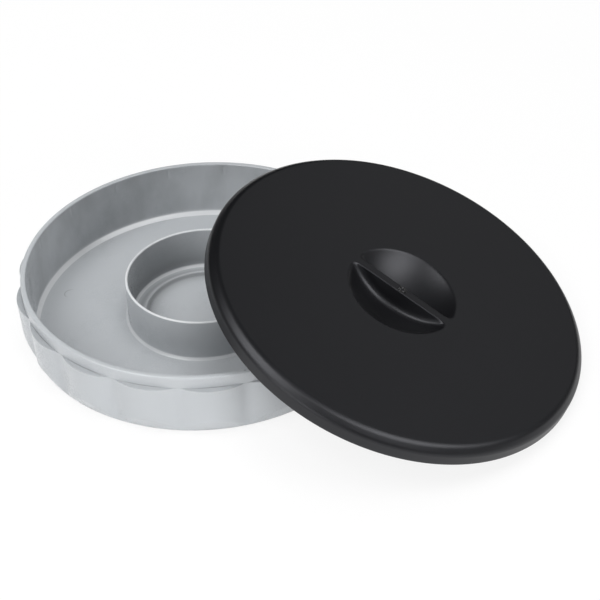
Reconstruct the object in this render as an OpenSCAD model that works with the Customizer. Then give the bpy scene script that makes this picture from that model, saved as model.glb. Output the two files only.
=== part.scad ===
// Cocktail glass rimmer: a round moulded tray whose ring-shaped channel holds salt or
// sugar round a centre cup, and a flat lid with a sunk finger grip.
// The lid lies as it does in use: one edge on the table, its grip bowl hooked over the rim.
// Millimetres. Origin at the centre of the tray's underside, +Z up, +X towards the lid.

/* [Tray] */
// Height of the tray, from the table to the rim
tray_h = 40.5; // [36:0.5:60]
// Inside diameter at the rim
tray_bore_d = 208; // [190:1:240]
// Thickness of the wall at the rim
rim_wall = 3.1; // [2.4:0.1:3.6]
// How far the inside of the wall leans in, from the rim to the floor
wall_draft = 0.4; // [0:0.1:1]
// Thickness of the floor
floor_t = 2.2; // [1.6:0.1:4]
// Fillet between the floor and the outer wall
floor_fillet = 4.5; // [2:0.5:8]
// Rounding of the rim's edges
rim_edge = 1; // [0.4:0.1:1.1]

/* [Shoulder and lobes] */
// Height of the plain band under the rim, over which the lid's skirt drops
band_h = 7.2; // [5:0.1:12]
// Number of lobes round the wall
lobe_count = 18; // [14:1:22]
// How far a lobe's crown stands out from the band
lobe_proud = 3.2; // [2:0.1:5]
// Radius of a lobe
lobe_r = 32.3; // [28:0.1:40]
// How much the valleys between lobes step in, from the band to the table
valley_draft = 1.8; // [0.5:0.1:2]
// Angle from the lid's side round to the first lobe's crown
lobe_turn = 16.65; // [0:0.05:20]

/* [Foot] */
// Height of the bevel that cuts the lobes away at the foot
foot_bevel_h = 11; // [6:0.2:14]
// How far the foot's edge lies inside a lobe's crown
foot_inset = 4.7; // [3:0.1:5]
// Rounding of the foot's edge
foot_edge = 1.8; // [0.6:0.1:1.8]

/* [Centre cup] */
// Inside diameter of the cup at its mouth
cup_bore_d = 90.5; // [76:0.5:110]
// Thickness of the cup's wall at its mouth
cup_wall = 1.7; // [1.4:0.1:3]
// Height of the cup's rim above the table
cup_h = 29.5; // [22:0.5:34]
// How much the cup's wall thickens towards the floor, on each side
cup_draft = 0.4; // [0:0.05:0.8]
// Fillet round the foot of the cup's outer wall
cup_outer_fillet = 2.2; // [1:0.1:4]
// Fillet between the cup's wall and its floor
cup_inner_fillet = 1.4; // [0.8:0.1:3]
// Diameter of the raised bead on the cup's floor
bead_d = 76; // [60:0.5:80]
// Width of the bead
bead_w = 2.4; // [1.6:0.1:4]
// Height of the bead above the floor
bead_h = 0.7; // [0.4:0.1:1.2]
// Depth of the dish inside the bead
dish_depth = 0.8; // [0.3:0.1:1]
// Width of the sloping border of the dish
dish_slope_w = 8; // [3:0.5:15]

/* [Lid] */
// Diameter of the lid
lid_d = 222; // [218:0.2:232]
// Height of the lid, from the skirt's edge to its flat top
lid_h = 11.2; // [9.5:0.1:16]
// Thickness of the lid
lid_t = 2.3; // [1.8:0.1:2.5]
// Rounding between the top and the skirt
lid_round = 4.7; // [3:0.1:6]
// Rounding of the skirt's lower edge
skirt_edge = 0.8; // [0.3:0.1:0.9]

/* [Grip] */
// Diameter of the round hollow in the lid's middle
grip_d = 64.6; // [56:0.2:76]
// Depth of the hollow
grip_depth = 12.5; // [10:0.5:15]
// Thickness of the finger bar that crosses the hollow
bar_w = 5; // [3.5:0.1:8]
// Bevel along the hollow's edge
grip_edge = 1; // [0.4:0.1:1.5]
// Bevel along the bar's upper edges
bar_bevel = 0.7; // [0.3:0.1:1.2]

/* [How the lid lies] */
// Tilt of the lid
lid_tilt = 20; // [14:0.5:26]
// Turn of the lid's finger bar about the lid's own axis
bar_turn = -11.5; // [-90:0.5:90]
// Space left between the grip's bowl and the tray's rim
rest_gap = 0.3; // [0.1:0.05:1]

/* [Hidden] */
$fn = 180;

// Steps in a quarter turn of a profile's arc
arc_steps = 6;
// How far one solid is sunk into another where they are joined
join = 0.6;

rim_r = tray_bore_d / 2;
band_r = rim_r + rim_wall;
wall_base_r = rim_r - wall_draft;
shoulder_z = tray_h - band_h;
crown_r = band_r + lobe_proud;
lobe_axis_r = crown_r - lobe_r;
foot_r = crown_r - foot_inset;
// Radius of the plain wall behind the valleys, where the foot's bevel ends
valley_r = band_r - valley_draft * (1 - foot_bevel_h / shoulder_z);

cup_r = cup_bore_d / 2;
cup_out_r = cup_r + cup_wall;
bead_r = bead_d / 2;
dish_r = bead_r - bead_w / 2;

lid_r = lid_d / 2;
grip_r = grip_d / 2;
// Radius of the ball that the hollow is cut from, and the height of its centre in the lid
ball_r = (grip_r * grip_r + grip_depth * grip_depth) / (2 * grip_depth);
ball_z = lid_h - grip_depth + ball_r;
bowl_r = ball_r + lid_t;

// The lid's lowest edge touches the table, and the bowl stops short of the rim's edge
lid_z = (lid_r - skirt_edge) * sin(lid_tilt) + skirt_edge * (1 - cos(lid_tilt));
bowl_reach = bowl_r + rest_gap + rim_edge;
bowl_rise = lid_z + ball_z * cos(lid_tilt) - (tray_h - rim_edge);
lid_x = band_r - rim_edge + sqrt(bowl_reach * bowl_reach - bowl_rise * bowl_rise)
    - ball_z * sin(lid_tilt);

// Points along an arc from angle a to angle b
function arc(centre, r, a, b, steps = arc_steps) = [
    for (i = [0:steps])
        let (t = a + (b - a) * i / steps)
        [centre[0] + r * cos(t), centre[1] + r * sin(t)]
];

// Half section of the plain wall behind the lobes and the band above them, solid to the middle
module band_section() {
    polygon(concat(
        [[0, foot_bevel_h]],
        [[valley_r, foot_bevel_h]],
        [[band_r, shoulder_z]],
        arc([band_r - rim_edge, tray_h - rim_edge], rim_edge, 0, 90),
        [[0, tray_h]]
    ));
}

// Half section of the room inside the tray: the ring-shaped channel and the cup,
// with the cup's wall and the bead standing up between them
module inside_section() {
    polygon(concat(
        [[0, tray_h + join]],
        [[rim_r + rim_edge, tray_h + join]],
        arc([rim_r + rim_edge, tray_h - rim_edge], rim_edge, 90, 180),
        arc([wall_base_r - floor_fillet, floor_t + floor_fillet], floor_fillet, 0, -90),
        arc([cup_out_r + cup_draft + cup_outer_fillet, floor_t + cup_outer_fillet],
            cup_outer_fillet, -90, -180),
        arc([cup_out_r - cup_wall / 2, cup_h - cup_wall / 2], cup_wall / 2, 0, 180, 2 * arc_steps),
        arc([cup_r - cup_draft - cup_inner_fillet, floor_t + cup_inner_fillet],
            cup_inner_fillet, 0, -90),
        [[bead_r + bead_w / 2, floor_t]],
        [[bead_r + bead_w / 4, floor_t + bead_h]],
        [[bead_r - bead_w / 4, floor_t + bead_h]],
        [[dish_r, floor_t]],
        [[dish_r - dish_slope_w, floor_t - dish_depth]],
        [[0, floor_t - dish_depth]]
    ));
}

// Outline of the lobed wall from above, solid to the middle
module lobe_outline() {
    for (i = [0:lobe_count - 1])
        rotate([0, 0, lobe_turn + i * 360 / lobe_count])
            translate([lobe_axis_r, 0])
                circle(r = lobe_r);
    circle(r = rim_r + join);
}

// Half section of what the foot's bevel leaves of the lobes
module foot_section() {
    far_r = crown_r + foot_inset;
    polygon(concat(
        [[0, 0]],
        arc([foot_r - foot_edge, foot_edge], foot_edge, -90, 0),
        [[far_r, 2 * foot_bevel_h - foot_edge]],
        [[far_r, shoulder_z + join]],
        [[0, shoulder_z + join]]
    ));
}

module tray() {
    color([0.72, 0.74, 0.76]) difference() {
        union() {
            intersection() {
                linear_extrude(height = shoulder_z) lobe_outline();
                rotate_extrude() foot_section();
            }
            rotate_extrude() band_section();
        }
        rotate_extrude() inside_section();
    }
}

// Half section of the lid, with the bowl of the grip and without its bar
module lid_section() {
    edge_a = asin(grip_r / ball_r) - asin(grip_edge / ball_r);
    bowl_a = acos((ball_z - lid_h + lid_t) / bowl_r);
    inner_round = lid_round - lid_t;
    polygon(concat(
        arc([0, ball_z], ball_r, -90, -90 + edge_a, 2 * arc_steps),
        [[grip_r + grip_edge, lid_h]],
        arc([lid_r - lid_round, lid_h - lid_round], lid_round, 90, 0),
        arc([lid_r - skirt_edge, skirt_edge], skirt_edge, 0, -90),
        [[lid_r - lid_t, 0]],
        arc([lid_r - lid_round, lid_h - lid_round], inner_round, 0, 90),
        arc([0, ball_z], bowl_r, -90 + bowl_a, -90, 2 * arc_steps)
    ));
}

// The finger bar fills the hollow across its middle, flush with the lid's top
module finger_bar() {
    intersection() {
        translate([0, 0, ball_z]) sphere(r = ball_r + grip_edge);
        rotate([90, 0, 90])
            translate([0, 0, -grip_r - grip_edge])
                linear_extrude(height = grip_d + 2 * grip_edge)
                    polygon([
                        [-bar_w / 2, lid_h - grip_depth - join],
                        [bar_w / 2, lid_h - grip_depth - join],
                        [bar_w / 2, lid_h - bar_bevel],
                        [bar_w / 2 - bar_bevel, lid_h],
                        [-bar_w / 2 + bar_bevel, lid_h],
                        [-bar_w / 2, lid_h - bar_bevel]
                    ]);
    }
}

module lid() {
    color([0.13, 0.13, 0.14])
        translate([lid_x, 0, lid_z])
            rotate([0, lid_tilt, 0])
                rotate([0, 0, bar_turn])
                    union() {
                        rotate_extrude() lid_section();
                        finger_bar();
                    }
}

tray();
lid();
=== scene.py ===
"""Cocktail glass rimmer: a lobed tray of light grey plastic, and a black lid with a sunk
finger grip, which leans on the tray's rim. The scene is in metres, in the CAD model's
frame. The profiles below are in millimetres, and are scaled once, when a mesh is made."""

import math

import bmesh
import bpy
import numpy as np
from mathutils import Matrix, Vector
from mathutils.geometry import delaunay_2d_cdt


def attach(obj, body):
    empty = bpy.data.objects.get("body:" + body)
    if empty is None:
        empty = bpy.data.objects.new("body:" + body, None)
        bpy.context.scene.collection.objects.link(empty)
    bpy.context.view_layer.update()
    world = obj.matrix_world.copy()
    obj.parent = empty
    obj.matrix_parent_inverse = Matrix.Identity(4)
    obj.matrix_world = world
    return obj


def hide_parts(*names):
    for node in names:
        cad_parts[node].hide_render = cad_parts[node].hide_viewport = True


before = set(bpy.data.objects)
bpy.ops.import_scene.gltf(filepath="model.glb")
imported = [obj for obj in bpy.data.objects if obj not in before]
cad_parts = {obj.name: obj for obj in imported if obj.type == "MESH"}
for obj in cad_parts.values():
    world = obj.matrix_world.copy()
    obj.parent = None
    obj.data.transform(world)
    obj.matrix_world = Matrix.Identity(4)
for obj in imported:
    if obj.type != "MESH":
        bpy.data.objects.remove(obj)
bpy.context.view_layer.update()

MM = 0.001

# Tray
TRAY_HEIGHT = 40.5
RIM_RADIUS = 104.0
RIM_ROUND = 0.85
BAND_RADIUS = 107.1
BAND_HEIGHT = 7.2
SHOULDER_HEIGHT = TRAY_HEIGHT - BAND_HEIGHT
WALL_FOOT_RADIUS = 103.6
FLOOR = 2.2

# The lobes of the tray's wall, and the foot's bevel that cuts them
LOBES = 18
LOBE_AXIS = 78.0
LOBE_RADIUS = 32.6
LOBE_TAPER = 0.6
FIRST_LOBE = math.radians(16.65)
LOBE_EDGE_ROUND = 0.25
VALLEY_ROUND = 2.8
FOOT_RADIUS = 105.6
FOOT_SLOPE = 0.4226
FOOT_ROUND = 1.8
FOOT_BEVEL_ROUND = 0.45
# How far the lobed wall keeps out of the band's surface
BAND_GAP = 0.04
# Where the wall is sampled, in degrees from a valley
VALLEY_STEPS = (0, 0.2, 0.45, 0.75, 1.1, 1.5, 2.0, 2.7, 3.6, 4.6, 5.7, 6.8, 7.9, 9.0)

# Upright marks inside the rim: depth, how far below the rim they are deepest, how far they
# reach up and down from there, and half their width in radians
MARK_DEPTH = 0.4
MARK_MIDDLE = 4.0
MARK_REACH = 4.6
MARK_WIDTH = 0.009

# Centre cup
CUP_TOP = 29.45
CUP_INSIDE = 45.3
CUP_OUTSIDE = 46.95
CUP_DRAFT = 0.4
# The dish in its floor: flat as far as a radius, then curving up over its border
DISH = FLOOR - 0.8
DISH_FLAT = 27.0
DISH_BORDER = 9
DISH_RISE = 0.9
DISH_STEPS = (28.5, 30, 31.5, 33, 34.5, 35.6)
# The ridge round the dish, the sunk ring round the ridge, and the sloping band at the foot
# of the wall, as (radius, above the dish)
RIDGE_AND_RING = (
    (36.0, 0.98), (36.2, 1.3), (36.4, 1.52), (36.8, 1.62), (37.6, 1.62), (38.1, 1.5),
    (38.45, 1.1), (38.8, 0.72), (39.5, 0.58), (41, 0.52), (42.4, 0.55), (43.0, 0.62),
    (43.25, 0.72), (44.55, 1.9), (44.78, 2.2))

# Bends at the foot of the cup's outside and of the tray's wall, as (out from the wall,
# above the floor): a narrow sloping band between two tight bends
FOOT_BEND = (
    (0.0, 2.2), (0.06, 1.8), (0.2, 1.5), (0.45, 1.2), (0.8, 0.85), (1.15, 0.5),
    (1.45, 0.22), (1.75, 0.06), (2.2, 0.0))
CORNER_BEND = (
    (3.7, 0.0), (3.3, 0.05), (2.95, 0.22), (2.6, 0.52), (2.1, 1.0), (1.6, 1.5), (1.1, 2.0),
    (0.7, 2.42), (0.42, 2.8), (0.22, 3.25), (0.1, 3.8), (0.0, 4.5))
# The middle of the underside, as (radius, height): a small sunk pad with a point in it
SUNK_PAD = ((8, 0), (5.4, 0.0), (5.0, 0.35), (2.2, 0.4), (1.9, 0.1), (0.7, 0.0))

# Surfaces of the tray's profile. The lobes' rule shapes all but the first
TURNED, INNER_WALL, SHOULDER, EDGE, WALL, BEVEL = range(6)
# Where the surfaces that have no place of their own are sampled, as shares of their length
SHARES = (
    (SHOULDER, (0.0, 0.12, 0.4, 0.7, 0.92)),
    (EDGE, (0.0, 0.2, 0.4, 0.6, 0.8, 1.0)),
    (WALL, (0.03, 0.1, 0.2, 0.32, 0.45, 0.58, 0.7, 0.8, 0.88, 0.94, 0.98, 1.0)),
    (BEVEL, (0.03, 0.09, 0.2, 0.4, 0.6, 0.8, 1.0)))

# Lid
LID_RADIUS = 111.9
LID_HEIGHT = 11.2
LID_WALL = 2.3
LID_STEPS = 288
# Its rounded edge: an upper arc, a short slope at 45 degrees and a lower arc
UPPER_ARC = 5.0
UPPER_ARC_INSET = 6.0
SLOPE_STEPS = (0.5, 1.0, 1.5)
LOWER_ARC = 3.6
# Its skirt: how far the lower edge stands out, how far up, and its roundings
SKIRT_FLARE = 0.3
SKIRT_LIFT = 0.15
SKIRT_ROUND = 0.7
SKIRT_INNER_ROUND = 0.4
# Its underside: the rounding into the skirt, and the one into the grip's bowl, given by
# where that starts outside the bowl and how far in it reaches
UNDER_ROUND = 2.4
UNDER_ROUND_DROP = 4.7
BOWL_ROUND_START = 2.6
BOWL_ROUND_REACH = 2.48

# Finger grip: a hollow cut from a ball, with a bar across it
GRIP_RADIUS = 32.3
GRIP_DEPTH = 12.5
BALL_RADIUS = (GRIP_RADIUS ** 2 + GRIP_DEPTH ** 2) / (2 * GRIP_DEPTH)
BALL_HEIGHT = LID_HEIGHT - GRIP_DEPTH + BALL_RADIUS
BAR_WIDTH = 5.0
BAR_LEAN = 0.03
CREASE_ROUND = 4.6
HOLLOW_EDGE_ROUND = 0.7
# Rings round each half of the hollow: two on the flat top, given as how far out they lie,
# then the rounded edge, then down the walls, then inwards over the floor as shares
TOP_RINGS = (1.9, 1.2)
TOP_RING_BAR_SHARE = 0.9
EDGE_RINGS = (0.85, 0.6, 0.4, 0.2, 0.0)
WALL_RINGS = (0.15, 0.4, 0.7, 1.1, 1.7, 2.5, 3.4, 4.4, 5.4, 6.4, 7.4, 8.3, 9.1, 9.8, 10.4, 10.9)
FLOOR_RINGS = (0.94, 0.87, 0.79, 0.7, 0.6, 0.5, 0.4, 0.3, 0.2, 0.1, 0.04)
# Radius from which the flat top is turned, outside the hollow
FLAT_RADIUS = 38.0

# The torn gate stub on the bar, as (radius, height above the bar)
STUB_RINGS = ((1.9, -0.3), (1.85, 0.1), (1.6, 0.5), (1.3, 0.35), (0.95, -0.15), (0.45, -0.25))
STUB_SIDES = 20

# How the lid lies
LID_TILT = math.radians(20)
BAR_TURN = math.radians(-11.5)
LID_PLACE = (119.93, 0, 38.05)

# The camera, from the fit of the rims, the lobes and the lid to the photograph: its turn
# round the tray, how steeply it looks down, its distance from the middle of the rim, its
# roll, and its focal length and the image's shift in pixels of a square image
VIEW_TURN = math.radians(21.55)
VIEW_DOWN = 0.666843
VIEW_DISTANCE = 7.509656 * RIM_RADIUS
VIEW_ROLL = -0.023703
FOCUS = 1315.765
SHIFT = (-97.667, -41.615)
IMAGE_SIZE = 600.0
SENSOR_WIDTH = 36.0

# Lamps: name, degrees round from the camera's side, degrees up, width, height, power, and
# whether they light surfaces and whether they show in reflections
LAMPS = (
    ("overhead", 60, 84, 0.9, 0.9, 12, True, False),
    ("key", -58, 56, 1.1, 1.0, 18, True, True),
    ("front_right", 45, 42, 1.1, 1.0, 2.2, True, True),
    ("high_back", 180, 62, 1.2, 1.0, 5, True, False),
    ("back_right", 138, 38, 1.3, 1.1, 1.9, True, True),
    ("low_left", -40, 16, 1.2, 0.5, 7.5, True, True),
    ("low_right", 42, 15, 1.2, 0.5, 17, True, False),
    ("low_back", 215, 13, 1.2, 0.5, 8, True, False),
    ("front_gleam", 52, 48, 1.6, 0.9, 21, False, True))
LAMP_DISTANCE = 1.8
LAMP_TARGET = Vector((0.04, 0, 0.02))

TABLE_HALF = 4.0
WHITE = (1, 1, 1, 1)


# ---------------------------------------------------------------- node trees

class Value:
    """A node's output, so that maths on it reads as maths."""

    def __init__(self, tree, socket):
        self.tree = tree
        self.socket = socket

    def math(self, operation, *others):
        return self.tree.math(operation, self, *others)

    def __add__(self, other): return self.math("ADD", other)
    def __radd__(self, other): return self.math("ADD", other)
    def __sub__(self, other): return self.math("SUBTRACT", other)
    def __rsub__(self, other): return self.tree.math("SUBTRACT", other, self)
    def __mul__(self, other): return self.math("MULTIPLY", other)
    def __rmul__(self, other): return self.math("MULTIPLY", other)
    def __truediv__(self, other): return self.math("DIVIDE", other)
    def __rtruediv__(self, other): return self.tree.math("DIVIDE", other, self)
    def least(self, other): return self.math("MINIMUM", other)
    def most(self, other): return self.math("MAXIMUM", other)
    def size(self): return self.math("ABSOLUTE")
    def root(self): return self.most(0.0).math("SQRT")
    def sin(self): return self.math("SINE")
    def cos(self): return self.math("COSINE")
    def over(self, edge): return self.math("GREATER_THAN", edge)

    def held(self):
        """Kept between 0 and 1."""
        return self.least(1.0).most(0.0)

    def bell(self, middle, width):
        """1 at middle, falling to 0 within about twice width."""
        away = (self - middle) / width
        return (away * away * -1.0).math("EXPONENT")

    def window(self, low, high, soft):
        """1 between low and high, falling to 0 within soft beyond them."""
        return ((self - low) / soft + 1.0).held() * ((high - self) / soft + 1.0).held()


class Tree:
    """A node tree, and the ways that nodes are added to it."""

    def __init__(self, nodes):
        self.nodes = nodes

    def node(self, kind, values=(), **settings):
        """A new node, with its inputs given by name or number, or in order."""
        node = self.nodes.nodes.new(kind)
        for name, setting in settings.items():
            setattr(node, name, setting)
        for key, value in values.items() if isinstance(values, dict) else enumerate(values):
            if isinstance(value, Value):
                self.nodes.links.new(value.socket, node.inputs[key])
            else:
                node.inputs[key].default_value = value
        return node

    def add(self, kind, values=(), out=0, **settings):
        return Value(self, self.node(kind, values, **settings).outputs[out])

    def math(self, operation, *values):
        return self.add("ShaderNodeMath", values, operation=operation)

    def outputs(self, kind):
        """All the outputs of a new node, by name."""
        return {socket.name: Value(self, socket) for socket in self.node(kind).outputs}

    def parts(self, vector):
        """The three parts of a vector."""
        node = self.node("ShaderNodeSeparateXYZ", (vector,))
        return [Value(self, socket) for socket in node.outputs]

    def mix(self, share, low, high):
        """A colour between two others."""
        return self.add("ShaderNodeMix", {0: share, 6: low, 7: high}, out=2, data_type="RGBA")

    def noise(self, spot, scale, detail):
        return self.add("ShaderNodeTexNoise", {"Vector": spot, "Scale": scale, "Detail": detail})


# ---------------------------------------------------------------- profiles and meshes

def arc(centre, radius, start, end, steps):
    """Points of an arc in a profile, angles in degrees."""
    turns = np.radians(np.linspace(start, end, steps + 1))
    return [(centre[0] + radius * math.cos(t), centre[1] + radius * math.sin(t)) for t in turns]


def line(start, end, steps):
    """Points along a straight stretch, without its ends."""
    start, end = np.array(start), np.array(end)
    return [tuple(start + (end - start) * share) for share in np.linspace(0, 1, steps + 1)[1:-1]]


def turned(profile, turns):
    """Points of a profile of (radius, height) carried round, one ring after another."""
    return [(radius * math.cos(t), radius * math.sin(t), height)
            for radius, height in profile for t in turns]


def ring_faces(rings, count):
    """Quads between neighbouring rings of count points each, given as first indices."""
    faces = []
    for lower, upper in zip(rings[:-1], rings[1:]):
        for i in range(count):
            j = (i + 1) % count
            faces.append((lower + i, lower + j, upper + j, upper + i))
    return faces


def fan(middle, ring, count):
    """Triangles that close a ring of count points round its middle point."""
    return [(middle, ring + i, ring + (i + 1) % count) for i in range(count)]


def finish_mesh(name, points, faces):
    """A smooth mesh object at the origin, from points in millimetres."""
    mesh = bpy.data.meshes.new(name)
    mesh.from_pydata([tuple(float(v) * MM for v in p) for p in points], [], faces)
    mesh.validate()
    mesh.update()
    mesh.shade_smooth()
    obj = bpy.data.objects.new(name, mesh)
    bpy.context.collection.objects.link(obj)
    return obj


def point_out(obj):
    """Turns the faces of a closed mesh so that they point outwards."""
    work = bmesh.new()
    work.from_mesh(obj.data)
    bmesh.ops.recalc_face_normals(work, faces=work.faces)
    if work.calc_volume(signed=True) < 0:
        bmesh.ops.reverse_faces(work, faces=work.faces)
    work.to_mesh(obj.data)
    work.free()


# ---------------------------------------------------------------- tray

def tray_profile():
    """Half section of the tray as (radius, height, surface, share), from the middle of the
    cup's floor over the rim to the foot and back to the middle underneath. From the
    shoulder to the foot's bevel there is only a share of the way along a surface: the
    lobes' rule turns it into a place."""
    inside = [(0.6, DISH)] + line((0.6, DISH), (DISH_FLAT, DISH), 4) + [(DISH_FLAT, DISH)]
    inside += [(r, DISH + DISH_RISE * ((r - DISH_FLAT) / DISH_BORDER) ** 2) for r in DISH_STEPS]
    inside += [(r, DISH + rise) for r, rise in RIDGE_AND_RING]
    foot = CUP_INSIDE - CUP_DRAFT
    inside += line((foot - 0.02, FLOOR + 1.8), (CUP_INSIDE, CUP_TOP - 0.8), 8)
    half_wall = (CUP_OUTSIDE - CUP_INSIDE) / 2
    inside += arc((CUP_INSIDE + half_wall, CUP_TOP - half_wall), half_wall, 180, 0, 10)
    foot = CUP_OUTSIDE + CUP_DRAFT
    inside += line((CUP_OUTSIDE, CUP_TOP - half_wall), (foot, FLOOR + 2.4), 8)
    inside += [(foot + r, FLOOR + z) for r, z in FOOT_BEND]
    corner = [(WALL_FOOT_RADIUS - r, FLOOR + z) for r, z in CORNER_BEND]
    inside += line(inside[-1], corner[0], 14)
    inside += corner
    rows = [(r, z, TURNED, 0) for r, z in inside]

    rim_low = TRAY_HEIGHT - RIM_ROUND
    rows += [(r, z, INNER_WALL, 0) for r, z in line(inside[-1], (RIM_RADIUS, rim_low), 34)]
    rim = arc((RIM_RADIUS + RIM_ROUND, rim_low), RIM_ROUND, 180, 90, 6)
    rim += arc((BAND_RADIUS - RIM_ROUND, rim_low), RIM_ROUND, 90, 0, 6)
    rim += line((BAND_RADIUS, rim_low), (BAND_RADIUS, SHOULDER_HEIGHT + 0.3), 5)
    rim += [(BAND_RADIUS, SHOULDER_HEIGHT + 0.3), (BAND_RADIUS + 0.03, SHOULDER_HEIGHT + 0.1)]
    rows += [(r, z, TURNED, 0) for r, z in rim]

    rows += [(0, 0, surface, share) for surface, shares in SHARES for share in shares]

    under = arc((FOOT_RADIUS - FOOT_ROUND, FOOT_ROUND), FOOT_ROUND, -8, -90, 6)
    under += line(under[-1], SUNK_PAD[0], 12)
    under += SUNK_PAD
    rows += [(r, z, TURNED, 0) for r, z in under]
    return rows


def azimuths():
    """Where the tray's wall is sampled: closer together near each valley between lobes."""
    pitch = 2 * math.pi / LOBES
    near = np.radians(VALLEY_STEPS)
    one = np.concatenate([near, [pitch / 2], pitch - near[:0:-1]]) - pitch / 2
    return np.concatenate([FIRST_LOBE + k * pitch + one for k in range(LOBES)])


def tray_blank():
    """The tray turned from its profile, closed, with each point's surface and share kept
    as attributes for the tree that shapes the lobes."""
    rows = tray_profile()
    turns = azimuths()
    count = len(turns)
    profile = [(r, z) if surface < SHOULDER else
               (LOBE_AXIS + LOBE_RADIUS, SHOULDER_HEIGHT - surface - share)
               for r, z, surface, share in rows]
    points = turned(profile, turns)
    starts = [i * count for i in range(len(rows))]
    faces = ring_faces(starts, count)
    for height, ring in ((DISH, starts[0]), (0, starts[-1])):
        faces += fan(len(points), ring, count)
        points.append((0, 0, height))
    obj = finish_mesh("tray_body", points, faces)
    for name, column in (("kind", 2), ("share", 3)):
        data = np.zeros(len(points))
        data[:len(rows) * count] = np.repeat([row[column] for row in rows], count)
        layer = obj.data.attributes.new(name, "FLOAT", "POINT")
        layer.data.foreach_set("value", data)
    return obj


# What the lobes' rule is given, in metres
LOBE_RULE = {
    "Lobe count": LOBES,
    "First lobe": FIRST_LOBE,
    "Lobe axis": LOBE_AXIS * MM,
    "Lobe radius": LOBE_RADIUS * MM,
    "Lobe taper": LOBE_TAPER * MM,
    "Valley round": VALLEY_ROUND * MM,
    "Edge round": LOBE_EDGE_ROUND * MM,
    "Band radius": BAND_RADIUS * MM,
    "Shoulder height": SHOULDER_HEIGHT * MM,
    "Foot radius": FOOT_RADIUS * MM,
    "Foot slope": FOOT_SLOPE,
    "Foot round": FOOT_ROUND * MM,
    "Rim height": TRAY_HEIGHT * MM,
    "Mark depth": MARK_DEPTH * MM,
}


def lobe_tree(material):
    """The rule of the wall: a row of upright lobes, cut by the foot's bevel, with a rounded
    shoulder on top, and a fine upright mark inside the rim behind each valley."""
    group = bpy.data.node_groups.new("lobed_wall", "GeometryNodeTree")
    group.interface.new_socket("Geometry", in_out="INPUT", socket_type="NodeSocketGeometry")
    settings = {}
    for name, value in LOBE_RULE.items():
        socket = group.interface.new_socket(name, in_out="INPUT", socket_type="NodeSocketFloat")
        socket.default_value = value
        settings[socket.identifier] = float(value)
    group.interface.new_socket("Geometry", in_out="OUTPUT", socket_type="NodeSocketGeometry")
    tree = Tree(group)
    given = tree.outputs("NodeGroupInput")
    kind, share = (
        tree.add("GeometryNodeInputNamedAttribute", {"Name": name}, data_type="FLOAT")
        for name in ("kind", "share"))

    x, y, z = tree.parts(tree.add("GeometryNodeInputPosition"))
    turn = y.math("ARCTAN2", x)
    radius = (x * x + y * y).root()
    pitch = 2 * math.pi / given["Lobe count"]
    # Angle from the nearest lobe's crown, and from the next nearest one's
    turned_on = (turn - given["First lobe"] + pitch * 0.5).math("FLOORED_MODULO", pitch)
    crown_angle = (turned_on - pitch * 0.5).size()
    next_angle = pitch - crown_angle
    top = given["Shoulder height"]
    band = given["Band radius"]
    foot_radius, foot_round = given["Foot radius"], given["Foot round"]

    def lobe_reach(angle, lobe):
        across = given["Lobe axis"] * angle.sin()
        return given["Lobe axis"] * angle.cos() + (lobe * lobe - across * across).root()

    def overlap(a, b, width):
        gap = (width - (a - b).size()).most(0.0)
        return gap * gap / (width * 4.0)

    def soft_most(a, b, width):
        return a.most(b) + overlap(a, b, width)

    def soft_least(a, b, width):
        return a.least(b) - overlap(a, b, width)

    def wall_reach(height):
        lobe = given["Lobe radius"] - given["Lobe taper"] * (1 - height / top)
        return soft_most(lobe_reach(crown_angle, lobe), lobe_reach(next_angle, lobe),
                         given["Valley round"])

    def outside(height, lowest):
        """The lobed wall at a height, no further in than lowest, cut by the foot's bevel."""
        reach = soft_most(wall_reach(height), lowest, 0.3 * MM)
        bevel = foot_radius + given["Foot slope"] * height
        return soft_least(reach, bevel, FOOT_BEVEL_ROUND * MM)

    # Shoulder and rounded edge
    crest = wall_reach(top).most(band + BAND_GAP * MM)
    edge = (crest - band).least(given["Edge round"])
    shelf_radius = band + 0.03 * MM + (crest - edge - band).most(0.0) * share
    shelf_height = top + 0.05 * MM * (1 - share)
    swing = share * (math.pi / 2)
    edge_radius = crest - edge + edge * swing.sin()
    edge_height = top - edge + edge * swing.cos()

    # Lobed wall and foot's bevel, which meet lower down where a lobe stands out less
    foot_wall = wall_reach(foot_round * 3.0)
    meeting = ((foot_wall - foot_radius) / given["Foot slope"]).most(foot_round * 1.35)
    wall_height = (top - edge) * (1 - share) + meeting * share
    wall_radius = outside(wall_height, band + BAND_GAP * MM - (top - wall_height) * 0.2)
    bevel_height = meeting * (1 - share) + foot_round * 1.1 * share
    bevel_radius = outside(bevel_height, foot_radius * 0.9)

    # Marks inside the rim
    away = (given["Rim height"] - z - MARK_MIDDLE * MM) / (MARK_REACH * MM)
    strip = (1 - away * away).root()
    beside = pitch * 0.5 - crown_angle
    inner_radius = radius + strip * beside.bell(0.0, MARK_WIDTH) * given["Mark depth"]

    new_radius, new_height = radius, z
    for surface, r, h in (
        (INNER_WALL, inner_radius, z),
        (SHOULDER, shelf_radius, shelf_height),
        (EDGE, edge_radius, edge_height),
        (WALL, wall_radius, wall_height),
        (BEVEL, bevel_radius, bevel_height),
    ):
        here = 1 - (kind - float(surface)).size().over(0.5)
        new_radius = new_radius * (1 - here) + r * here
        new_height = new_height * (1 - here) + h * here
    place = tree.add("ShaderNodeCombineXYZ",
                     (new_radius * turn.cos(), new_radius * turn.sin(), new_height))
    moved = tree.add("GeometryNodeSetPosition",
                     {"Geometry": given["Geometry"], "Position": place})
    real = tree.add("GeometryNodeRealizeInstances", {"Geometry": moved})
    dressed = tree.add("GeometryNodeSetMaterial", {"Geometry": real, "Material": material})
    tree.node("NodeGroupOutput", (dressed,))
    return group, settings


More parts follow.
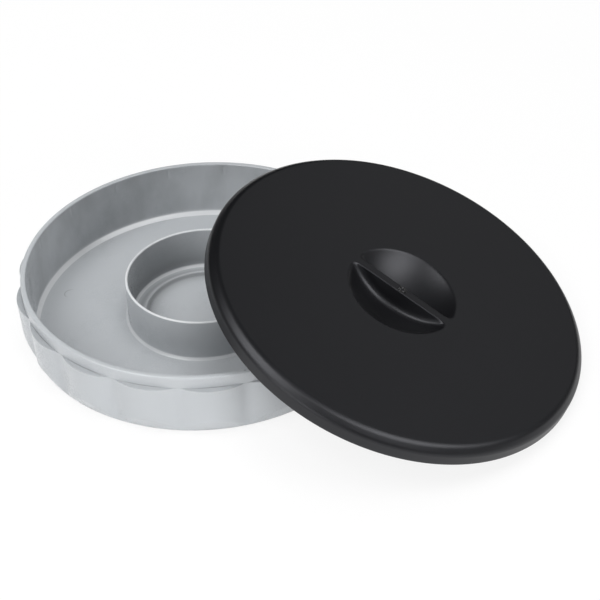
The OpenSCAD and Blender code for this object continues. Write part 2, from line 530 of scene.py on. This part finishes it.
def keep_plain(obj, group, settings):
    """Runs the tree on obj and keeps its result as a plain mesh."""
    modifier = obj.modifiers.new("shape", "NODES")
    modifier.node_group = group
    for identifier, value in settings.items():
        modifier[identifier] = value
    shaped = obj.evaluated_get(bpy.context.evaluated_depsgraph_get())
    mesh = bpy.data.meshes.new_from_object(shaped)
    obj.modifiers.remove(modifier)
    obj.data = mesh
    for name in ("kind", "share"):
        if name in mesh.attributes:
            mesh.attributes.remove(mesh.attributes[name])
    mesh.shade_smooth()


def make_tray(material):
    tray = tray_blank()
    tray.data.materials.append(material)
    keep_plain(tray, *lobe_tree(material))
    point_out(tray)
    return tray


# ---------------------------------------------------------------- lid

def place_lid(points):
    """Lid points, with the bar along X and the skirt's edge at 0, to where the lid lies."""
    turn = Matrix.Rotation(LID_TILT, 3, "Y") @ Matrix.Rotation(BAR_TURN, 3, "Z")
    return np.asarray(points, float) @ np.array(turn).T + np.array(LID_PLACE)


def smooth_most(a, b, width):
    gap = np.maximum(width - np.abs(a - b), 0.0)
    return np.maximum(a, b) + gap * gap / (4 * width)


def hollow_field(points, side):
    """Below 0 inside the plastic round one half of the finger hollow: the flat top, the
    ball-shaped hollow and the bar's wall, with rounded edges and a rounded crease."""
    x, y, z = points[:, 0], points[:, 1] * side, points[:, 2]
    ball = np.sqrt(x * x + y * y + (z - BALL_HEIGHT) ** 2) - BALL_RADIUS
    wall = BAR_WIDTH / 2 + (LID_HEIGHT - z) * BAR_LEAN - y
    hollow = smooth_most(ball, wall, CREASE_ROUND)
    return smooth_most(z - LID_HEIGHT, -hollow, HOLLOW_EDGE_ROUND)


def settle(points, side):
    """Moves points onto the surface of the finger hollow, a part of the way each round."""
    points = points.copy()
    small, rounds, part = 0.01, 14, 0.9
    for _ in range(rounds):
        value = hollow_field(points, side)
        slope = np.zeros_like(points)
        for axis in range(3):
            shift = np.zeros(3)
            shift[axis] = small
            slope[:, axis] = (hollow_field(points + shift, side)
                              - hollow_field(points - shift, side)) / (2 * small)
        length = np.maximum((slope ** 2).sum(1), 1e-6)
        points -= (value / length)[:, None] * slope * part
    return points


def crowd(count):
    """Shares from 0 to 1, closer together near both ends."""
    t = np.linspace(0, 1, count + 1)
    eased = 0.5 - 0.5 * np.cos(math.pi * t)
    return 0.35 * t + 0.65 * (0.5 - 0.5 * np.cos(math.pi * eased))


def half_round(radius, wall, height, side):
    """Outline of one half of the hollow at a height: along the bar, then round the arc."""
    end = math.sqrt(max(radius * radius - wall * wall, 0.01))
    start = math.asin(min(wall / radius, 0.999))
    chord = [(-end + 2 * end * s, wall) for s in crowd(44)]
    sweep = [(radius * math.cos(start + (math.pi - 2 * start) * s),
              radius * math.sin(start + (math.pi - 2 * start) * s)) for s in crowd(72)]
    outline = np.array(chord[:-1] + sweep[:-1])
    return np.column_stack([outline[:, 0], outline[:, 1] * side, np.full(len(outline), height)])


def half_hollow(side):
    """Rings of one half of the hollow, from the flat top down to the middle of the floor,
    and the point in that middle."""
    bar = BAR_WIDTH / 2
    rings = [half_round(GRIP_RADIUS + out, bar - out * TOP_RING_BAR_SHARE, LID_HEIGHT, side)
             for out in TOP_RINGS]
    rings += [settle(half_round(GRIP_RADIUS + out, bar - out, LID_HEIGHT - 0.05, side), side)
              for out in EDGE_RINGS]
    for depth in WALL_RINGS:
        height = LID_HEIGHT - depth
        radius = math.sqrt(BALL_RADIUS ** 2 - (BALL_HEIGHT - height) ** 2)
        wall = bar + depth * BAR_LEAN
        last = half_round(radius, wall, height, side)
        rings.append(settle(last, side))
    heart = np.array([0, side * (wall + radius * 0.42), 0])
    for share in FLOOR_RINGS:
        ring = heart + (last - heart) * share
        ring[:, 2] = BALL_HEIGHT - np.sqrt(BALL_RADIUS ** 2 - ring[:, 0] ** 2 - ring[:, 1] ** 2)
        rings.append(settle(ring, side))
    return rings, rings[-1].mean(0)


def lid_profile():
    """Half section of the lid as (radius, height), from the flat top outside the hollow
    over the edge, round the skirt and along the underside to the middle of the bowl."""
    bend = arc((LID_RADIUS - UPPER_ARC_INSET, LID_HEIGHT - UPPER_ARC), UPPER_ARC, 88, 46, 9)
    bend += [(bend[-1][0] + s, bend[-1][1] - s) for s in SLOPE_STEPS]
    lower_height = bend[-1][1] - LOWER_ARC * math.sin(math.radians(45))
    bend += arc((LID_RADIUS - LOWER_ARC, lower_height), LOWER_ARC, 42, 0, 9)
    flat_end = bend[0][0] - 1.1
    rows = [(FLAT_RADIUS, LID_HEIGHT)]
    rows += line((FLAT_RADIUS, LID_HEIGHT), (flat_end, LID_HEIGHT), 9)
    rows += [(flat_end, LID_HEIGHT), (bend[0][0] - 0.5, LID_HEIGHT - 0.01)]
    rows += bend

    flared = LID_RADIUS + SKIRT_FLARE
    skirt_low = SKIRT_LIFT + SKIRT_ROUND
    rows += line(rows[-1], (flared, skirt_low), 5)
    rows += arc((flared - SKIRT_ROUND, skirt_low), SKIRT_ROUND, 0, -90, 6)
    inside = LID_RADIUS - LID_WALL
    inner_low = SKIRT_LIFT + SKIRT_INNER_ROUND
    rows += arc((inside + SKIRT_INNER_ROUND, inner_low), SKIRT_INNER_ROUND, 270, 180, 3)
    rows += line((inside, inner_low), (inside, LID_HEIGHT - UNDER_ROUND_DROP), 5)
    ceiling_end = inside - UNDER_ROUND
    rows += arc((ceiling_end, LID_HEIGHT - UNDER_ROUND_DROP), UNDER_ROUND, 0, 90, 7)

    bowl = BALL_RADIUS + LID_WALL
    ceiling = LID_HEIGHT - LID_WALL
    meet = math.acos((BALL_HEIGHT - ceiling) / bowl)
    round_start = bowl * math.sin(meet) + BOWL_ROUND_START
    rows += line((ceiling_end, ceiling), (round_start, ceiling), 8)
    for lean in meet * np.linspace(0, 1, 7):
        rows.append((round_start - BOWL_ROUND_REACH * math.sin(lean) / math.sin(meet),
                     ceiling - BOWL_ROUND_REACH * (1 - math.cos(lean))))
    start = math.degrees(math.asin(rows[-1][0] / bowl))
    for angle in np.radians(np.linspace(start - 1.5, 1.5, 14)):
        rows.append((bowl * math.sin(angle), BALL_HEIGHT - bowl * math.cos(angle)))
    rows.append((0, BALL_HEIGHT - bowl))
    return rows


def flat_top(points, loops):
    """Faces of the flat top, between its outer ring and the two halves of the hollow."""
    flat, edges, owner = [], [], []
    for loop in loops:
        first = len(flat)
        flat += [Vector(points[i][:2]) for i in loop]
        owner += loop
        edges += [(first + i, first + (i + 1) % len(loop)) for i in range(len(loop))]
    found = delaunay_2d_cdt(flat, edges, [], 0, 1e-5)
    corners, triangles, sources = found[0], found[2], found[3]
    half_reach = GRIP_RADIUS + TOP_RINGS[0]
    half_wall = BAR_WIDTH / 2 - TOP_RINGS[0] * TOP_RING_BAR_SHARE
    faces = []
    for triangle in triangles:
        x = sum(corners[i][0] for i in triangle) / 3
        y = abs(sum(corners[i][1] for i in triangle) / 3)
        in_half = y > half_wall and x * x + y * y < half_reach ** 2
        thin = len({tuple(np.round(corners[i], 4)) for i in triangle}) < 3
        if x * x + y * y < FLAT_RADIUS ** 2 and not thin and not in_half:
            faces.append(tuple(owner[sources[i][0]] for i in triangle))
    return faces


def make_lid(material):
    """The lid as one closed mesh: turned outside and underside, two half hollows, and the
    flat top between them."""
    turns = np.arange(LID_STEPS) * 2 * math.pi / LID_STEPS
    *profile, bottom = lid_profile()
    points = turned(profile, turns)
    starts = list(range(0, len(points), LID_STEPS))
    faces = ring_faces(starts, LID_STEPS) + fan(len(points), starts[-1], LID_STEPS)
    points.append((0, *bottom))
    # Outlines of the flat top: its outer ring, and the first ring of each half hollow
    loops = [list(range(LID_STEPS))]
    for side in (1, -1):
        rings, heart = half_hollow(side)
        size = len(rings[0])
        first = len(points)
        points += [tuple(p) for ring in rings for p in ring]
        starts = list(range(first, len(points), size))
        faces += ring_faces(starts, size) + fan(len(points), starts[-1], size)
        points.append(tuple(heart))
        loops.append(list(range(first, first + size)))
    faces += flat_top(points, loops)
    lid = finish_mesh("lid_body", place_lid(points), faces)
    point_out(lid)
    lid.data.materials.append(material)
    return lid


def make_gate_scar(material):
    """The torn stub in the middle of the bar, where the plastic was fed in."""
    rng = np.random.default_rng(4)
    points = []
    for radius, height in STUB_RINGS:
        for i in range(STUB_SIDES):
            t = i * 2 * math.pi / STUB_SIDES
            r = radius * (1 + 0.16 * rng.random())
            h = height + (0.45 * rng.random() if height > 0 else 0)
            points.append((r * math.cos(t) * 1.25, r * math.sin(t), LID_HEIGHT + h))
    starts = list(range(0, len(points), STUB_SIDES))
    faces = ring_faces(starts, STUB_SIDES)
    faces += [tuple(range(starts[-1], len(points))), tuple(reversed(range(STUB_SIDES)))]
    scar = finish_mesh("gate_scar", place_lid(points), faces)
    scar.data.shade_flat()
    point_out(scar)
    scar.data.materials.append(material)
    return scar


# ---------------------------------------------------------------- finishes

def new_finish(name):
    """A material, its emptied tree, and the object coordinates in it."""
    material = bpy.data.materials.new(name)
    material.use_nodes = True
    material.node_tree.nodes.clear()
    tree = Tree(material.node_tree)
    return material, tree, tree.add("ShaderNodeTexCoord", out="Object")


def close_finish(tree, values):
    shader = tree.add("ShaderNodeBsdfPrincipled", values)
    tree.node("ShaderNodeOutputMaterial", {"Surface": shader})


def tray_plastic():
    """Light grey moulded plastic, satin, with painted highlights along the bends at the walls' feet
    and on the cup's rim and ridge, and painted shade in the sunk rings of the cup's floor, low
    down inside the cup and on the lobes' shoulders; with flow streaks inside the wall, the
    witness ring of an ejector pin and a nick on the rim."""
    material, tree, spot = new_finish("tray_plastic")
    x, y, z = (part / MM for part in tree.parts(spot))
    radius = (x * x + y * y).root()

    def away_from(place_x, place_y):
        """Distance from an upright line through a place, and how far along X it lies."""
        out_x, out_y = x - place_x, y - place_y
        return (out_x * out_x + out_y * out_y).root(), out_x

    # Painted highlights: lighter lines along the bends at the walls' feet, on the cup's rim and on
    # the ridge
    corner = radius.window(100.9, 103.4, 0.2) * z.window(2.4, 4.6, 0.4)
    foot_line = radius.window(43.35, 44.6, 0.15) * z.window(1.9, 3.7, 0.3)
    crest = radius.window(45.0, 47.2, 0.2) * z.window(28.9, 30.0, 0.3)
    ridge = radius.window(37.0, 38.1, 0.3) * z.window(2.7, 3.3, 0.2)
    ring_foot = radius.window(47.6, 48.7, 0.3) * z.window(2.3, 3.6, 0.3)
    light = corner * 0.85 + foot_line * 0.8 + ring_foot * 0.5 + crest + ridge * 0.25

    # Painted shade: darker in the dish's border and the sunk ring, on the cup's wall low down, and
    # on the shoulders, darkest along the band beside each crown
    cup_floor = radius.bell(35.4, 1.6) * 0.42 + radius.bell(33.0, 3.0) * 0.16
    cup_floor = (cup_floor + radius.bell(40.6, 1.5) * 0.24) * z.window(1.2, 3.0, 0.2)
    # Painted shade inside the cup, darkest at the foot of its wall
    cup_wall = radius.window(44.2, 45.35, 0.2) * z.window(4.2, 29.0, 0.4)
    cup_wall = cup_wall * ((26 - z) / 22.0).held() * 0.36
    lobe_phase = (y.math("ARCTAN2", x) - FIRST_LOBE) * float(LOBES)
    near_crown = (lobe_phase.cos() * 1.1 + 0.55).held()
    shoulder = radius.window(107.25, 111.0, 0.2) * 0.2
    shoulder = shoulder + radius.bell(107.15, 0.2) * near_crown * 0.3
    shoulder = shoulder * z.window(33.1, 33.6, 0.1)
    # The pin's ring, deeper on one side, and the nick
    from_pin, pin_x = away_from(-85.8, -14.1)
    pin = from_pin.bell(4.0, 0.28) * (pin_x / -3.0).held() * z.window(2.1, 2.4, 0.1) * 0.4
    from_nick, _ = away_from(62.5, -84.3)
    nick = from_nick.bell(0.0, 0.5) * z.window(40.0, 41.0, 0.2) * 0.6
    # Painted shade, together with the pin's ring and the nick, which are marks of the plastic
    # itself
    dark = (cup_floor + cup_wall + shoulder + pin + nick).least(0.8)

    cloud = tree.noise(spot, 26.0, 3.0)
    grain = tree.noise(spot, 2600.0, 2.0)
    stretched = tree.add("ShaderNodeMapping", {"Vector": spot, "Scale": (48.0, 48.0, 26.0)})
    streaks = tree.noise(stretched, 1.0, 3.0)
    inner_wall = radius.window(103.2, 104.3, 0.3) * z.window(6.0, 39.5, 1.0)
    streaked = inner_wall * ((streaks - 0.42) * 0.75).most(0.0).least(0.2)
    tint = tree.mix(cloud, (0.44, 0.461, 0.481, 1), (0.466, 0.486, 0.505, 1))
    shaded = tree.add("ShaderNodeVectorMath", {0: tint, "Scale": (1 - dark) * (1 - streaked)},
                      operation="SCALE")
    # The painted highlights mix the colour towards a paler grey
    painted_highlight_colour = tree.mix(light.least(1.0), shaded, (0.69, 0.705, 0.72, 1))
    waves = tree.add("ShaderNodeBump", {"Height": cloud, "Strength": 0.12, "Distance": 0.004})
    skin = tree.add("ShaderNodeBump", {"Height": grain, "Strength": 0.05, "Distance": 0.0002,
                                       "Normal": waves})
    close_finish(tree, {"Base Color": painted_highlight_colour, "Roughness": 0.23 + cloud * 0.06 + grain * 0.04,
                        "Normal": skin, "IOR": 1.5})
    return material


def lid_plastic():
    """Black moulded plastic, satin, with a fine skin and faint flow clouds."""
    material, tree, spot = new_finish("lid_plastic")
    cloud = tree.noise(spot, 18.0, 4.0)
    grain = tree.noise(spot, 1900.0, 2.0)
    tint = tree.mix(cloud, (0.003, 0.0031, 0.0038, 1), (0.0046, 0.0047, 0.0055, 1))
    skin = tree.add("ShaderNodeBump", {"Height": grain, "Strength": 0.08, "Distance": 0.0002})
    close_finish(tree, {"Base Color": tint, "Roughness": 0.33 + cloud * 0.1 + grain * 0.05,
                        "Normal": skin, "IOR": 1.5, "Specular Tint": (0.93, 0.94, 1.0, 1)})
    return material


def torn_plastic():
    """The lid's black plastic where it was torn off: rough, with pale specks."""
    material, tree, spot = new_finish("torn_plastic")
    specks = tree.noise(spot, 1100.0, 1.0)
    pale = ((specks - 0.56) * 9.0).held()
    tint = tree.mix(pale, (0.001, 0.001, 0.001, 1), (0.16, 0.16, 0.17, 1))
    bumps = tree.add("ShaderNodeBump", {"Height": specks, "Strength": 0.8, "Distance": 0.0006})
    close_finish(tree, {"Base Color": tint, "Roughness": 0.6, "Normal": bumps, "IOR": 1.5})
    return material


# ---------------------------------------------------------------- studio

def make_floor():
    """A white table that takes the object's soft shadow near it, and is plain white to the
    camera further off."""
    mesh = bpy.data.meshes.new("table")
    corners = [(TABLE_HALF * x, TABLE_HALF * y, 0) for x, y in ((-1, -1), (1, -1), (1, 1), (-1, 1))]
    mesh.from_pydata(corners, [], [(0, 1, 2, 3)])
    floor = bpy.data.objects.new("table", mesh)
    bpy.context.collection.objects.link(floor)
    material, tree, spot = new_finish("white_table")
    paper = tree.add("ShaderNodeBsdfDiffuse", {"Color": (0.9, 0.9, 0.9, 1)})
    glow = tree.add("ShaderNodeEmission", {"Color": WHITE, "Strength": 1.0})
    ray = tree.outputs("ShaderNodeLightPath")
    seen = ray["Is Camera Ray"].most(ray["Is Glossy Ray"]).most(ray["Is Transmission Ray"])
    away = tree.add("ShaderNodeVectorMath", (spot,), out="Value", operation="LENGTH")
    share = ((away - 0.4) * 0.5).most(0.0).least(0.15) + 0.85
    surface = tree.add("ShaderNodeMixShader", (seen * share, paper, glow))
    tree.node("ShaderNodeOutputMaterial", {"Surface": surface})
    mesh.materials.append(material)


def make_world():
    """White to the camera, and nearly dark to everything else: the lamps give the light."""
    world = bpy.data.worlds.new("studio")
    bpy.context.scene.world = world
    world.use_nodes = True
    world.node_tree.nodes.clear()
    tree = Tree(world.node_tree)
    ray = tree.outputs("ShaderNodeLightPath")
    dim = tree.add("ShaderNodeBackground", {"Color": WHITE, "Strength": 0.02})
    white = tree.add("ShaderNodeBackground", {"Color": WHITE, "Strength": 1.0})
    sky = tree.add("ShaderNodeMixShader", (ray["Is Camera Ray"], dim, white))
    tree.node("ShaderNodeOutputWorld", {"Surface": sky})


def softbox(name, azimuth, elevation, width, height, power):
    """A rectangular lamp aimed at the object."""
    turn = VIEW_TURN + math.radians(azimuth) - math.pi / 2
    rise = math.radians(elevation)
    towards = Vector((math.cos(turn) * math.cos(rise), math.sin(turn) * math.cos(rise),
                      math.sin(rise)))
    lamp = bpy.data.lights.new(name, "AREA")
    lamp.shape = "RECTANGLE"
    lamp.size = width
    lamp.size_y = height
    lamp.energy = power
    obj = bpy.data.objects.new(name, lamp)
    obj.matrix_world = (Matrix.Translation(LAMP_TARGET + LAMP_DISTANCE * towards)
                        @ (-towards).to_track_quat("-Z", "Y").to_matrix().to_4x4())
    bpy.context.collection.objects.link(obj)
    return obj


def make_camera():
    """The photograph's view."""
    left, down = SHIFT[0] / FOCUS, SHIFT[1] / FOCUS
    right = Vector((1, 0, 0))
    up = Vector((0, math.sin(VIEW_DOWN), math.cos(VIEW_DOWN)))
    ahead = Vector((0, math.cos(VIEW_DOWN), -math.sin(VIEW_DOWN)))
    across = math.cos(VIEW_ROLL) * right + math.sin(VIEW_ROLL) * up
    tall = -math.sin(VIEW_ROLL) * right + math.cos(VIEW_ROLL) * up
    place = -VIEW_DISTANCE * MM * (left * across - down * tall + ahead)
    turn = Matrix((across, tall, -ahead)).transposed().to_4x4()
    data = bpy.data.cameras.new("camera")
    data.sensor_width = SENSOR_WIDTH
    data.lens = SENSOR_WIDTH * FOCUS / IMAGE_SIZE
    data.clip_start = 0.01
    data.clip_end = 50.0
    camera = bpy.data.objects.new("camera", data)
    camera.matrix_world = (Matrix.Translation((0, 0, TRAY_HEIGHT * MM))
                           @ Matrix.Rotation(VIEW_TURN, 4, "Z") @ Matrix.Translation(place) @ turn)
    bpy.context.collection.objects.link(camera)
    bpy.context.scene.camera = camera


# ---------------------------------------------------------------- put together

bpy.context.scene.view_settings.view_transform = "Standard"
make_camera()
make_floor()
make_world()
for name, azimuth, elevation, width, height, power, lights, gleams in LAMPS:
    lamp = softbox(name, azimuth, elevation, width, height, power)
    lamp.visible_diffuse, lamp.visible_glossy, lamp.visible_camera = lights, gleams, False

grey = tray_plastic()
black = lid_plastic()

tray = make_tray(grey)
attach(tray, "tray")
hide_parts("tray")

lid = make_lid(black)
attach(lid, "lid")
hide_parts("lid")

scar = make_gate_scar(torn_plastic())
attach(scar, "lid")
